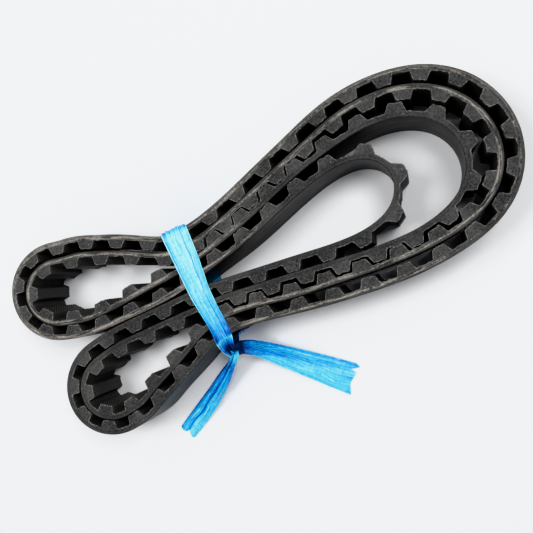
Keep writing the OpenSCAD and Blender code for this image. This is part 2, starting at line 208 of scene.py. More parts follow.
def scuffed(track, run, place):
    """How far cord dust was dragged over the rubber of a track's edge, from 0 to 1."""
    if track == "inner" or run in ("lower", "eye"):
        return 0.1
    if run == "upper":
        return 0.9
    return 0.25 + 0.45 * fade(place[1] / MM, begins=-20, whole=40)


def cut_in_runs(track, tip_length):
    """For each run, its line, and for each of its lugs the place, half gaps, tip's spread and wear."""
    overrun = 30 * MM
    route, tips, ties = read_track(track)
    ring, old = smooth_ring(route, step=1 * MM, reach=1.2 * MM)
    total, rounds = lengths(route)[-1], (-1, 0, 1)
    line = np.vstack([ring] * len(rounds) + [ring[:1]])
    new = lengths(line)
    olds = np.append(np.concatenate([old + total * k for k in rounds]), 2 * total)
    tips = np.concatenate([tips + total * k for k in rounds])
    spread = np.ptp(tips, axis=1) / tip_length
    middles = np.interp(tips.mean(axis=1), olds, new)
    lands = (middles[1:] + middles[:-1]) / 2
    cuts = [abs(lands - np.interp(t, olds, new)).argmin() for t in [ties[-1] - total] + ties]
    runs = {}
    for run, first, last in zip(RUNS, cuts, cuts[1:]):
        lugs = np.arange(first + 1, last + 1)
        places = along(line, middles[lugs])
        inside = (new > middles[lugs[0]] - overrun) & (new < middles[lugs[-1]] + overrun)
        runs[run] = line[inside], {
            "bare": [bare_cord(track, run, place) for place in places],
            "scuff": [scuffed(track, run, place) for place in places],
            "middle": middles[lugs] - new[inside][0],
            "before": middles[lugs] - lands[lugs - 1],
            "after": lands[lugs] - middles[lugs],
            "spread": spread[lugs],
        }
    return runs


# How the layers are laid: a track is built up in layers and cured as one, and bends as it is folded.
# So each layer is one flat pitch of it, repeated at every lug and bent along the run's line.
# A lug's tip keeps its own length in a bend, and the waist stands on the film under it.
TRACK_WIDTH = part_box("outer_upper_cover")[1].z
PITCH, LUG_ROOT, LUG_TIP = 20 * MM, 11 * MM, 7 * MM
COVER_DEEP, PLY_DEEP, LAND_DEEP, ROOT_DEEP = 1.5 * MM, 2.5 * MM, 2.9 * MM, 3.4 * MM
LUG_HEIGHT = 4.8 * MM
FACING = ROOT_DEEP - LAND_DEEP
TIE_X = sum(corner.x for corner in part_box("tie_band")) / 2
BAND_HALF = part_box("tie_band")[1].x - TIE_X
FLANK_RUN = (LUG_ROOT - LUG_TIP) / 2
FILM_LIFT = 0.5 * MM
SKIN_IN = FACING * (math.hypot(LUG_HEIGHT, FLANK_RUN) - FLANK_RUN) / LUG_HEIGHT


class Wire:
    """A socket of a node tree. A sum written with it adds the Math nodes that it needs."""

    def __init__(self, tree, socket=None):
        self.tree = tree
        self.socket = socket

    def node(self, kind, settings=None, values=None, out=0):
        """A new node of the same tree: its type, its settings, its sockets' values or links."""
        made = self.tree.nodes.new(kind)
        for name, value in (settings or {}).items():
            if name == "stops":
                ramp = made.color_ramp.elements
                while len(ramp) < len(value):
                    ramp.new(0.5)
                for stop, (place, colour) in zip(ramp, value):
                    stop.position, stop.color = place, (*colour, 1)
            else:
                setattr(made, name, value)
        for name, value in (values or {}).items():
            if isinstance(value, Wire):
                self.tree.links.new(value.socket, made.inputs[name])
            else:
                made.inputs[name].default_value = value
        return Wire(self.tree, made.outputs[out] if made.outputs else None)

    def other(self, out):
        """Another output of the node that this socket is on."""
        return Wire(self.tree, self.socket.node.outputs[out])

    def math(self, operation, *values):
        """A sum of some values."""
        return self.node("ShaderNodeMath", {"operation": operation}, dict(enumerate(values)))

    def vector(self, operation, *values):
        """A sum of some vectors."""
        settings = {"operation": operation}
        return self.node("ShaderNodeVectorMath", settings, dict(enumerate(values)), "Vector")

    def scaled(self, size):
        """This vector, made longer or shorter."""
        return self.node("ShaderNodeVectorMath", {"operation": "SCALE"}, {0: self, "Scale": size}, "Vector")

    def part(self, axis):
        """One of the three parts of this vector."""
        return self.node("ShaderNodeSeparateXYZ", {}, {0: self}, axis)

    def noise(self, scale, detail, roughness=0.5):
        """Noise at this place, from 0 to 1."""
        values = {"Vector": self, "Scale": scale, "Detail": detail, "Roughness": roughness}
        return self.node("ShaderNodeTexNoise", {}, values)

    def attribute(self, name, out="Fac"):
        """A value that the piece's mesh carries, or a vector of it."""
        return self.node("ShaderNodeAttribute", {"attribute_name": name}, out=out)

    def bump(self, strength, distance):
        """This height, standing in the surface."""
        return self.node("ShaderNodeBump", {}, {"Strength": strength, "Distance": distance, "Height": self})

    def mapped(self, low, high, to_low=0.0, to_high=1.0):
        """This value, taken smoothly from one range to another and kept inside it."""
        values = {"Value": self, "From Min": low, "From Max": high, "To Min": to_low, "To Max": to_high}
        return self.node("ShaderNodeMapRange", {"interpolation_type": "SMOOTHSTEP"}, values)

    def mixed(self, low, high):
        """One colour where this value is 0, going over to another where it is 1."""
        factor, first_colour, second_colour, colour_out = 0, 6, 7, 2
        values = {factor: self, first_colour: low, second_colour: high}
        return self.node("ShaderNodeMix", {"data_type": "RGBA"}, values, colour_out)

    def __add__(self, other):
        return self.math("ADD", self, other)

    def __radd__(self, other):
        return self.math("ADD", other, self)

    def __sub__(self, other):
        return self.math("SUBTRACT", self, other)

    def __rsub__(self, other):
        return self.math("SUBTRACT", other, self)

    def __mul__(self, other):
        return self.math("MULTIPLY", self, other)

    def __rmul__(self, other):
        return self.math("MULTIPLY", other, self)

    def __truediv__(self, other):
        return self.math("DIVIDE", self, other)

    def __rtruediv__(self, other):
        return self.math("DIVIDE", other, self)


def layer_tree():
    """Geometry nodes that lay a flat pitch at each station and bend the row along a line."""
    tree = bpy.data.node_groups.new("layer laid along a run", "GeometryNodeTree")
    for name, kind in (
        ("Geometry", "Geometry"),
        ("Flat pitch", "Object"),
        ("Line", "Object"),
        ("Half pitch", "Float"),
        ("Half lug root", "Float"),
        ("Ply depth", "Float"),
        ("Root depth", "Float"),
        ("Lug height", "Float"),
        ("Width", "Float"),
        ("Tie place", "Float"),
        ("Tie half", "Float"),
        ("Film lift", "Float"),
        ("Wander", "Float"),
        ("Fray", "Float"),
        ("Finish", "Material"),
    ):
        tree.interface.new_socket(name, in_out="INPUT", socket_type="NodeSocket" + kind)
    tree.interface.new_socket("Geometry", in_out="OUTPUT", socket_type="NodeSocketGeometry")
    given = Wire(tree).node("NodeGroupInput")
    wander_scale, fray_scale, same_point = 22.0, 380.0, 0.02 * MM
    edge_begins, edge_whole = 0.8 * MM, 0.3 * MM
    lift_whole, lift_gone = 1.15, 1.5

    def station(name):
        kind = {"data_type": "FLOAT"}
        return given.node("GeometryNodeInputNamedAttribute", kind, {"Name": name}, "Attribute")

    flat = given.node("GeometryNodeObjectInfo", {}, {"Object": given.other("Flat pitch")}, "Geometry")
    row = given.node("GeometryNodeInstanceOnPoints", {}, {"Points": given, "Instance": flat})
    row = given.node("GeometryNodeRealizeInstances", {}, {"Geometry": row})
    x = given.node("GeometryNodeInputPosition").part("X")
    depth, height = x.other("Y"), x.other("Z")

    reach = x.math("ABSOLUTE", x)
    root, half = given.other("Half lug root"), given.other("Half pitch")
    forward = x.math("GREATER_THAN", x, 0.0)
    gap = station("after") * forward + station("before") * (1 - forward)
    beyond = x.math("MAXIMUM", reach - root, 0.0) * (gap - root) / (half - root)
    raised = (depth - given.other("Root depth")) / given.other("Lug height")
    raised = x.math("MINIMUM", x.math("MAXIMUM", raised, 0.0), 1.0)
    reach = x.math("MINIMUM", reach, root) * (1 + (station("spread") - 1) * raised) + beyond
    length = station("middle") + x.math("SIGN", x) * reach

    line = given.node("GeometryNodeObjectInfo", {}, {"Object": given.other("Line")}, "Geometry")
    values = {"Curves": line, "Length": length}
    place = given.node("GeometryNodeSampleCurve", {"mode": "LENGTH"}, values, "Position")
    inward = place.vector("CROSS_PRODUCT", (0.0, 0.0, 1.0), place.other("Tangent"))
    width, ply, tie = given.other("Width"), given.other("Ply depth"), given.other("Tie half")
    spot = place.vector("ADD", place, place.node("ShaderNodeCombineXYZ", {}, {"Z": height}))
    wander = (spot.noise(wander_scale, detail=1.0) - 0.5) * given.other("Wander")
    fray = (spot.noise(fray_scale, detail=1.0) - 0.5) * given.other("Fray")
    at_edge = height.mapped(width - edge_begins, width - edge_whole)
    at_edge = at_edge + height.mapped(edge_begins, edge_whole)
    sway = wander + fray * at_edge * depth.mapped(ply, given.other("Root depth"))
    away = x.math("ABSOLUTE", place.part("X") - given.other("Tie place"))
    lift = away.mapped(tie * lift_whole, tie * lift_gone, 1.0, 0.0) * given.other("Film lift")
    up = place.node("ShaderNodeCombineXYZ", {}, {"Z": height + lift * (1 - height / width)})
    place = place.vector("ADD", place, inward.scaled(depth - ply + sway))
    place = place.vector("ADD", place, up)

    lay = place.node("ShaderNodeCombineXYZ", {}, {"X": station("girth"), "Y": height, "Z": depth})
    kept = {"data_type": "FLOAT_VECTOR", "domain": "POINT"}
    values = {"Geometry": row, "Name": "lay", "Value": lay}
    row = given.node("GeometryNodeStoreNamedAttribute", kept, values)
    row = given.node("GeometryNodeSetPosition", {}, {"Geometry": row, "Position": place})
    row = given.node("GeometryNodeMergeByDistance", {}, {"Geometry": row, "Distance": same_point})
    row = given.node("GeometryNodeRealizeInstances", {}, {"Geometry": row})
    row = given.node("GeometryNodeSetMaterial", {}, {"Geometry": row, "Material": given.other("Finish")})
    given.node("NodeGroupOutput", {}, {"Geometry": row})
    return tree


def lug_form(x, root, tip, ease):
    """Share of a lug's height at a length from its middle, its corners eased."""
    fall = (root - abs(x)) / (root - tip)

    def ramp(t):
        return np.where(t < -ease, 0, np.where(t < ease, (t + ease) ** 2 / (4 * ease), t))

    return ramp(fall) - ramp(fall - 1)


def link(thing):
    """Puts a new object in the scene."""
    bpy.context.scene.collection.objects.link(thing)
    return thing


def flat_pitch(name, near, far, near_ease, far_ease, rows):
    """One pitch of a layer, unbent: x along, y down from the back, z across, its long edges eased."""
    half_pitch = [0, 1.2, 2.1, 2.6, 2.9, 3.2, 3.5, 3.8, 4.2, 4.6, 4.9, 5.2, 5.5, 5.8, 6.3, 7.2, 8.5, 10]
    xs = np.array([-v for v in half_pitch[:0:-1]] + half_pitch) * MM
    near, far = near(xs) + 0 * xs, far(xs) + 0 * xs
    girth = np.append(0, np.cumsum(np.hypot(np.diff(xs), np.diff(far))))
    girth /= girth[-1]
    verts, lengths_round = [], []
    for x, n, f, g in zip(xs, near, far, girth):
        ring = [(n, z) for z in np.linspace(near_ease, TRACK_WIDTH - near_ease, rows)]
        ring += [(n + near_ease, TRACK_WIDTH)] if near_ease else []
        ring += [(f - far_ease, TRACK_WIDTH)] if far_ease else []
        ring += [(f, z) for z in np.linspace(TRACK_WIDTH - far_ease, far_ease, rows)]
        ring += [(f - far_ease, 0)] if far_ease else []
        ring += [(n + near_ease, 0)] if near_ease else []
        verts += [(x, d, z) for d, z in ring]
        lengths_round += [g] * len(ring)
    sides = len(ring)
    faces = [
        (i + k, i + sides + k, i + sides + (k + 1) % sides, i + (k + 1) % sides)
        for i in range(0, len(verts) - sides, sides)
        for k in range(sides)
    ]
    mesh = bpy.data.meshes.new(name)
    mesh.from_pydata(verts, [], faces)
    mesh.attributes.new("girth", "FLOAT", "POINT").data.foreach_set("value", lengths_round)
    return link(bpy.data.objects.new(name, mesh))


def line_object(name, line):
    """An open curve through the points of a run's line."""
    curve = bpy.data.curves.new(name, "CURVE")
    curve.dimensions = "3D"
    spline = curve.splines.new("POLY")
    spline.points.add(len(line) - 1)
    spline.points.foreach_set("co", np.insert(line, 2, [[0], [1]], axis=1).ravel())
    return link(bpy.data.objects.new(name, curve))


def plain_piece(name, laid):
    """A laid row or a strip of film as a plain closed mesh, smooth but for its sharp edges."""
    sharp = math.radians(40)
    graph = bpy.context.evaluated_depsgraph_get()
    evaluated = laid.evaluated_get(graph)
    mesh = bpy.data.meshes.new_from_object(evaluated, preserve_all_data_layers=True, depsgraph=graph)
    mesh.name = name
    solid = bmesh.new()
    solid.from_mesh(mesh)
    bmesh.ops.holes_fill(solid, edges=[e for e in solid.edges if e.is_boundary])
    bmesh.ops.recalc_face_normals(solid, faces=solid.faces)
    solid.to_mesh(mesh)
    solid.free()
    mesh.shade_smooth()
    mesh.set_sharp_from_angle(angle=sharp)
    bpy.data.objects.remove(laid)
    return link(bpy.data.objects.new(name, mesh))


LAID = layer_tree()
LINES = {}
for track in ("outer", "inner"):
    for run, (line, stations) in cut_in_runs(track, tip_length=LUG_TIP - 2 * SKIN_IN).items():
        LINES[track, run] = line_object(f"{track}_{run}_line", line), stations


def lay_layer(layer, flat, material):
    """Lays one layer along all eight runs, each bending from the tie to its lobe or loop."""
    for (track, run), (line, stations) in LINES.items():
        name = f"{track}_{run}_{layer}"
        points = bpy.data.meshes.new(name)
        points.from_pydata([(0, 0, 0)] * len(stations["middle"]), [], [])
        for key, values in stations.items():
            points.attributes.new(key, "FLOAT", "POINT").data.foreach_set("value", values)
        laid = link(bpy.data.objects.new("laid", points))
        settings = {
            "Flat pitch": flat,
            "Line": line,
            "Half pitch": PITCH / 2,
            "Half lug root": LUG_ROOT / 2,
            "Ply depth": (COVER_DEEP + PLY_DEEP) / 2,
            "Root depth": ROOT_DEEP,
            "Lug height": LUG_HEIGHT,
            "Width": TRACK_WIDTH,
            "Tie place": TIE_X,
            "Tie half": BAND_HALF,
            "Film lift": FILM_LIFT,
            "Wander": 0.35 * MM,
            "Fray": 1.6 * MM,
            "Finish": material,
        }
        nodes = laid.modifiers.new("laid", "NODES")
        nodes.node_group = LAID
        for socket in LAID.interface.items_tree:
            if socket.name in settings:
                nodes[socket.identifier] = settings[socket.name]
        piece = plain_piece(name + "_moulded", laid)
        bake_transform(piece)
        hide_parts(name, *([f"{track}_waist_{layer}"] if run == "bow" else []))
    bpy.data.objects.remove(flat)


def finish(name, **sockets):
    """A new material, with its shader and a first wire to build on."""
    made = bpy.data.materials.new(name)
    made.use_nodes = True
    shader = made.node_tree.nodes["Principled BSDF"]
    for socket, value in sockets.items():
        shader.inputs[socket.replace("_", " ")].default_value = value
    return made, shader, Wire(made.node_tree)


def feed(shader, **wires):
    """Links what changes over a surface to its shader."""
    for socket, wire in wires.items():
        wire.tree.links.new(wire.socket, shader.inputs[socket.replace("_", " ")])


# The cover: the smooth back of each track, black rubber cured under the mould's smooth jacket.
# It is one with the rest of the belt, satin, with fine lengthwise rubs, and dull where it was slit.
DUST_DEEP, SLIT_ROUGHNESS = 0.7 * MM, 0.75
CORD_DUST, FILLER = (0.24, 0.224, 0.2, 1), (0.26, 0.26, 0.25, 1)
SLIT_DARK, SLIT_PALE = (0.014, 0.014, 0.014, 1), (0.068, 0.067, 0.065, 1)
BACK_DARK, BACK_PALE = (0.0155, 0.0148, 0.014, 1), (0.03, 0.0285, 0.027, 1)


def slit_edge(lay):
    """How far a point lies on one of the two edges that the slitting knife left, from 0 to 1."""
    height = lay.part("Y")
    begins, whole = 0.42 * MM, 0.22 * MM
    return height.mapped(TRACK_WIDTH - begins, TRACK_WIDTH - whole) + height.mapped(begins, whole)


def slit_grain(where):
    """Grain of knife-cut rubber, from 0 to 1, and its few pale specks of filler."""
    grain = where.noise(scale=1300.0, detail=4.0, roughness=0.65)
    cells = where.node("ShaderNodeTexVoronoi", {}, {"Vector": where, "Scale": 520.0}, "Distance")
    kind = cells.node("ShaderNodeSeparateColor", {}, {0: cells.other("Color")})
    return grain, cells.mapped(0.1, 0.22, 1.0, 0.0) * kind.mapped(0.84, 0.98)


def slit_tone(where, dark, pale):
    """Colour of a slit edge, between two tones of the rubber, and the grain in it."""
    grain, specks = slit_grain(where)
    cloud = where.noise(scale=45.0, detail=3.0)
    share = grain.mapped(0.34, 0.66) * 0.65 + cloud.mapped(0.35, 0.65) * 0.35
    return (specks * 0.7).mixed(share.mixed(dark, pale), FILLER), grain


def drag_lines(where, lay):
    """Lines that the knife dragged along an edge, from 0 to 1."""
    along_edge, across_edge = 90.0, 1300.0
    across = where.node("ShaderNodeCombineXYZ", {}, {"Z": lay.part("Z") * across_edge})
    stretched = where.vector("MULTIPLY", where, (along_edge, along_edge, 0.0))
    return where.vector("ADD", stretched, across).noise(scale=1.0, detail=3.0)


def dragged_cord(where, lay, bare, grain):
    """Cord dust that the knife dragged on to the rubber beside the ply, in streaks, from 0 to 1."""
    depth = lay.part("Z")
    beside = depth.mapped(DUST_DEEP, COVER_DEEP) * depth.mapped(ROOT_DEEP, PLY_DEEP)
    streaks = bare * 0.45 + (drag_lines(where, lay) - 0.5) * 4 * bare - grain.mapped(0.4, 0.62) * 0.3
    return streaks.mapped(0.05, 0.8) * beside


cover_rubber, shader, start = finish("cover rubber")
where = start.node("ShaderNodeTexCoord", out="Object")
lay, scuff, bare = start.attribute("lay", "Vector"), start.attribute("scuff"), start.attribute("bare")
edge = slit_edge(lay)
cloud = where.noise(scale=60.0, detail=4.0)
rubs = where.vector("MULTIPLY", where, (25.0, 25.0, 800.0)).noise(scale=1.0, detail=2.0)
back = cloud.mapped(0.3, 0.7).mixed(BACK_DARK, BACK_PALE)
cut, grain = slit_tone(where, SLIT_DARK, SLIT_PALE)
dust = scuff * 0.55 + (drag_lines(where, lay) - 0.5) * 1.6 * scuff - grain.mapped(0.4, 0.62) * 0.3
dust = dust.math("MAXIMUM", dust.mapped(0.0, 0.8), dragged_cord(where, lay, bare, grain))
cut = dust.mixed(cut, CORD_DUST)
dull = 0.46 + rubs.mapped(0.35, 0.65) * 0.1 + cloud.mapped(0.4, 0.7) * 0.08
relief = rubs * (1 - edge) * 0.3 + grain * edge
feed(
    shader,
    Base_Color=edge.mixed(back, cut),
    Roughness=dull + edge * (SLIT_ROUGHNESS - dull),
    Normal=relief.bump(strength=0.5, distance=0.04 * MM),
)
lay_layer(
    "cover",
    flat_pitch("cover pitch", lambda x: 0, lambda x: COVER_DEEP, near_ease=0.4 * MM, far_ease=0, rows=9),
    cover_rubber,
)

# The tension ply: woven cord in rubber, which carries the pull and shows as a tan line in the edge.
# It lies between the lugs' rubber and the cover, cured to both and cut through with them.
# The knife left its cord bare in some stretches and smeared rubber over it in others.
CORDS, CORD_JITTER = 17, 4.5
CORD_DARK, CORD_PALE, CORD_WORN = (0.1, 0.091, 0.079, 1), (0.4, 0.367, 0.32, 1), (0.28, 0.248, 0.217, 1)
ply_cord, shader, start = finish("tension ply", Roughness=0.85)
where = start.node("ShaderNodeTexCoord", out="Object")
lay, bare = start.attribute("lay", "Vector"), start.attribute("bare")
turn = lay.part("X")
fibre = where.noise(scale=700.0, detail=3.0)
patch = where.noise(scale=160.0, detail=2.0)
cords = turn.math("SINE", (turn * CORDS + fibre * CORD_JITTER) * math.tau) * 0.5 + 0.5
cord_tone = patch.mapped(0.48, 0.68).mixed(cords.mixed(CORD_DARK, CORD_PALE), CORD_WORN)
smear, _ = slit_tone(where, SLIT_DARK, SLIT_PALE)
shows = bare * 0.6 + (drag_lines(where, lay) - 0.5) * 3.6 * bare - fibre.mapped(0.4, 0.62) * 0.35
relief = cords * 0.5 + fibre
feed(
    shader,
    Base_Color=shows.mapped(0.0, 0.75).mixed(smear, cord_tone),
    Normal=relief.bump(strength=0.6, distance=0.1 * MM),
)
lay_layer(
    "ply",
    flat_pitch("ply pitch", lambda x: COVER_DEEP, lambda x: PLY_DEEP, near_ease=0, far_ease=0, rows=2),
    ply_cord,
)

# The lugs: trapezoid rubber teeth on a thin land, moulded on to the ply, one to each pitch.
# Only their slit ends show: matt rubber with the knife's grain and specks of lighter filler.
LUG_DARK, LUG_PALE = (0.009, 0.009, 0.009, 1), (0.083, 0.082, 0.08, 1)
lug_rubber, shader, start = finish("lug rubber", Roughness=0.78)
where = start.node("ShaderNodeTexCoord", out="Object")
lay, bare = start.attribute("lay", "Vector"), start.attribute("bare")
tone, grain = slit_tone(where, LUG_DARK, LUG_PALE)
tone = dragged_cord(where, lay, bare, grain).mixed(tone, CORD_DUST)
feed(shader, Base_Color=tone, Normal=grain.bump(strength=0.6, distance=0.06 * MM))


def rubber_depth(x):
    """Depth from the back to the outer side of the lugs' rubber, at a length from a lug's middle."""
    return LAND_DEEP + LUG_HEIGHT * lug_form(x, LUG_ROOT / 2 - SKIN_IN, LUG_TIP / 2 - SKIN_IN, ease=0.1)


lay_layer(
    "lugs",
    flat_pitch("lug pitch", lambda x: PLY_DEEP, rubber_depth, near_ease=0, far_ease=0, rows=2),
    lug_rubber,
)

# The facing: a stretch fabric, soaked in rubber, over the lugs and the lands between them.
# The rubber pressed it into the mould's grooves, so its diagonal weave stands in the surface.
# Where the knife slit it, its threads are a little frayed.
THREADS, THREAD_GAP, TWIST = 16, 2.4 * MM, 1.6
SKIN_DARK, SKIN_PALE = (0.036, 0.035, 0.034, 1), (0.12, 0.118, 0.115, 1)
CUT_DARK, CUT_PALE, FRAYED = (0.026, 0.026, 0.026, 1), (0.125, 0.123, 0.119, 1), (0.22, 0.215, 0.205, 1)
lug_facing, shader, start = finish("lug facing")
where = start.node("ShaderNodeTexCoord", out="Object")
lay = start.attribute("lay", "Vector")
turn = lay.part("X")
rise = turn.other("Y") / THREAD_GAP
edge = slit_edge(lay)
twist = where.noise(scale=110.0, detail=3.0) * TWIST
warp = turn.math("ABSOLUTE", turn.math("SINE", (turn * THREADS + rise + twist) * math.pi))
weft = turn.math("ABSOLUTE", turn.math("SINE", (turn * THREADS - rise + twist) * math.pi))
weave = turn.math("MAXIMUM", warp * 0.8, weft)
cut, grain = slit_tone(where, CUT_DARK, CUT_PALE)
threads_out = where.noise(scale=900.0, detail=2.0).mapped(0.5, 0.6)
cut = (threads_out * 0.6).mixed(cut, FRAYED)
relief = weave * (1 - edge) + grain * edge * 0.5
feed(
    shader,
    Base_Color=edge.mixed(weave.mapped(0.6, 1.0).mixed(SKIN_DARK, SKIN_PALE), cut),
    Roughness=0.82 - weave * 0.2 * (1 - edge),
    Normal=relief.bump(strength=0.7, distance=0.12 * MM),
)


def skin_depth(x):
    """Depth from the back to the outer side of the facing, at a length from a lug's middle."""
    return ROOT_DEEP + LUG_HEIGHT * lug_form(x, LUG_ROOT / 2, LUG_TIP / 2, ease=0.2)


lay_layer(
    "facing",
    flat_pitch("facing pitch", rubber_depth, skin_depth, near_ease=0, far_ease=0.25 * MM, rows=7),
    lug_facing,
)
for line, _ in LINES.values():
    bpy.data.objects.remove(line)

# The tie's film: a strip of blue polythene, bunched lengthwise into pleats, passed round and knotted.
# It is thin, glossy and a little clear, so it is pale where it is spread and deep where it is bunched.
# Shade in its hollows and creases, and highlights on its edges and glints, are painted into its colour as
# well.
FILM = 0.12 * MM
FILM_STOPS = [
    (0.0, (0.48, 0.94, 0.99)),
    (0.2, (0.14, 0.75, 0.93)),
    (0.4, (0.02, 0.46, 0.88)),
    (0.6, (0.008, 0.21, 0.7)),
    (0.8, (0.004, 0.07, 0.4)),
    (1.0, (0.002, 0.01, 0.06)),
]
# Colour of the glints painted into the film: painted highlights.
FILM_GLINT = (0.62, 0.9, 0.96, 1)
FILM_HALF, FILM_HIGHLIGHT_RIM = 8 * MM, 0.7 * MM
film, shader, start = finish("blue film", Specular_IOR_Level=0.3, Coat_Roughness=0.12)
lie, fold = start.attribute("film", "Vector"), start.attribute("fold")


def drawn_noise(along_film, across_film, detail):
    """Noise drawn out along the film or across it, from 0 to 1."""
    return lie.vector("MULTIPLY", lie, (along_film, across_film, 0.0)).noise(1.0, detail)


deep = lie.part("Z")
streaks = drawn_noise(along_film=40.0, across_film=1300.0, detail=3.0)
bends = drawn_noise(along_film=55.0, across_film=700.0, detail=3.0)
crinkle = drawn_noise(along_film=600.0, across_film=220.0, detail=3.0)
# Painted highlights: thin pale glints along the film, mixed into its colour.
film_glints = drawn_noise(along_film=90.0, across_film=900.0, detail=2.0)
# The pleats' valleys (fold) and these thin crease lines are painted deeper: partly thicker film, partly
# painted shade.
creases = bends.math("ABSOLUTE", bends - 0.5).mapped(0.0, 0.035, 1.0, 0.0)
# Painted highlight: the film's two long edges are painted paler.
rim = deep.math("ABSOLUTE", deep.other("Y")).mapped(FILM_HALF - FILM_HIGHLIGHT_RIM, FILM_HALF)
shade = deep + (streaks - 0.5) * (deep * 0.7 + 0.36) + (fold - 0.38) * (deep * 0.4 + 0.25)
shade = shade + (crinkle - 0.5) * 0.34 + creases * 0.17 - rim * 0.3
tone = shade.node("ShaderNodeValToRGB", {"stops": FILM_STOPS}, {0: shade})
relief = streaks + crinkle - creases * 0.5
feed(
    shader,
    Base_Color=(film_glints.mapped(0.64, 0.72) * 0.7).mixed(tone, FILM_GLINT),
    Roughness=crinkle.mapped(0.35, 0.65, 0.24, 0.42),
    Coat_Weight=streaks.mapped(0.45, 0.7, 0.0, 0.4),
    Normal=relief.bump(strength=0.8, distance=0.3 * MM),
)


def eased(stations, step, reach):
    """Rows of numbers at an even step through some chosen stations, the corners rounded over a reach."""
    known = np.array(stations)
    at = lengths(known[:, :3])
    fine = np.linspace(0, at[-1], round(at[-1] / step) + 1)
    rows = np.stack([np.interp(fine, at, column) for column in known.T], axis=1)
    half = round(3 * reach / step)
    bell = np.exp(-((np.arange(-half, half + 1) * step / reach) ** 2) / 2)
    rows = np.vstack([2 * rows[0] - rows[half:0:-1], rows, 2 * rows[-1] - rows[-2 : -half - 2 : -1]])
    return np.stack([np.convolve(column, bell / bell.sum(), "valid") for column in rows.T], axis=1)


def unit(vectors):
    """The same directions, each of length 1."""
    return vectors / np.linalg.norm(vectors, axis=1, keepdims=True)


def film_piece(name, rows, sides, pleats, layers, waver=0, cut=None, parted=None, settle=None):
    """A strip of film along rows of place, width, pleat depth and depth of colour.

    The pleats are places across it, from -1 to 1, with the share of the depth that each stands up.
    The wandering of the pleats and the wrinkles go by radians to a metre of film.
    """
    wander, drift, wrinkle_along, wrinkle_aslant = 260, 110, 900, 370
    per_pleat = 3
    folds, rises = np.array(pleats).T
    between = [np.linspace(a, b, per_pleat, endpoint=False) for a, b in zip(folds, folds[1:])]
    across = np.append(np.concatenate(between), 1)
    reached = lengths(rows[:, :3])
    tables = np.column_stack([rows, unit(np.gradient(rows[:, :3], axis=0)), sides])
    verts, lie, valleys = [], [], []
    for v, rise in zip(across, np.interp(across, folds, rises)):
        at = reached * (1 - (cut(v) if cut else 0) / reached[-1])
        row = np.stack([np.interp(at, reached, column) for column in tables.T], axis=1)
        place, width, depth, deep = row[:, :3], row[:, 3], row[:, 4], row[:, 5]
        ahead, side = row[:, 6:9], row[:, 9:]
        shifted = v + waver * (1 - v * v) * np.sin(at * wander + 1.5 * np.sin(at * drift))
        place = place + side * (shifted * width / 2)[:, None]
        wrinkle = 1 + 0.4 * np.sin(at * wrinkle_along + 40 * v) * np.sin(at * wrinkle_aslant - 23 * v)
        place = place + np.cross(ahead, side) * (rise * depth * wrinkle)[:, None]
        verts.append(place if settle is None else settle(place))
        lie.append(np.column_stack([at, 0 * at + v * FILM_HALF, deep + layers(v, at)]))
        # How far down in a pleat's valley each point lies; the film's colour deepens there, partly for
        # thicker film, partly as painted shade.
        valleys.append(np.where(depth > 0, 1 - rise, rise))
    count = len(reached)
    faces = [
        (c * count + r, c * count + r + 1, (c + 1) * count + r + 1, (c + 1) * count + r)
        for c in range(len(across) - 1)
        for r in range(count - 1)
        if not (parted and parted((across[c] + across[c + 1]) / 2, reached[r]))
    ]
    mesh = bpy.data.meshes.new(name)
    mesh.from_pydata(np.vstack(verts), [], faces)
    mesh.attributes.new("film", "FLOAT_VECTOR", "POINT").data.foreach_set("vector", np.vstack(lie).ravel())
    mesh.attributes.new("fold", "FLOAT", "POINT").data.foreach_set("value", np.concatenate(valleys))
    mesh.materials.append(film)
    thin = link(bpy.data.objects.new("thin", mesh))
    wall = thin.modifiers.new("wall", "SOLIDIFY")
    wall.thickness = FILM
    wall.offset = 1
    return plain_piece(name, thin)


# The band: the film's middle stretch, drawn tight over the bundle's edges and under it to the knot.
# It narrows and deepens towards the knot, bunched there and painted near black as shadow, and its main
# crease runs down its right-hand third.
back_points = np.array(
    [vert.co for run in RUNS for vert in bpy.data.objects[f"outer_{run}_cover_moulded"].data.vertices]
)


def back_edge(x, far):
    """How far out the bundle's backs reach at a place along them, on the far side or the near one."""
    close_by = 1.2 * MM
    beside = back_points[abs(back_points[:, 0] - x) < close_by, 1]
    return beside.max() if far else beside.min()


BAND_GAP, BAND_SPREAD = 0.15 * MM, 9 * MM
SPREADS = np.linspace(TIE_X - BAND_SPREAD, TIE_X + BAND_SPREAD, 7)
FAR_EDGE, NEAR_EDGE = ([back_edge(x, far) for x in SPREADS] for far in (True, False))
FAR, NEAR = back_edge(TIE_X, True) + BAND_GAP, back_edge(TIE_X, False) - BAND_GAP
TOP, UNDER = TRACK_WIDTH + 0.08 * MM, FILM_LIFT - 0.05 * MM
KNOT = sum(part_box("tie_knot"), Vector()) / 2


def hug(place):
    """Moves points of the band so that it follows the backs, which lie a little askew under it."""
    far = np.interp(place[:, 0], SPREADS, FAR_EDGE) + BAND_GAP - FAR
    near = np.interp(place[:, 0], SPREADS, NEAR_EDGE) - BAND_GAP - NEAR
    share = fade(place[:, 1], begins=NEAR, whole=FAR)
    return place + np.outer(near + (far - near) * share, (0, 1, 0))
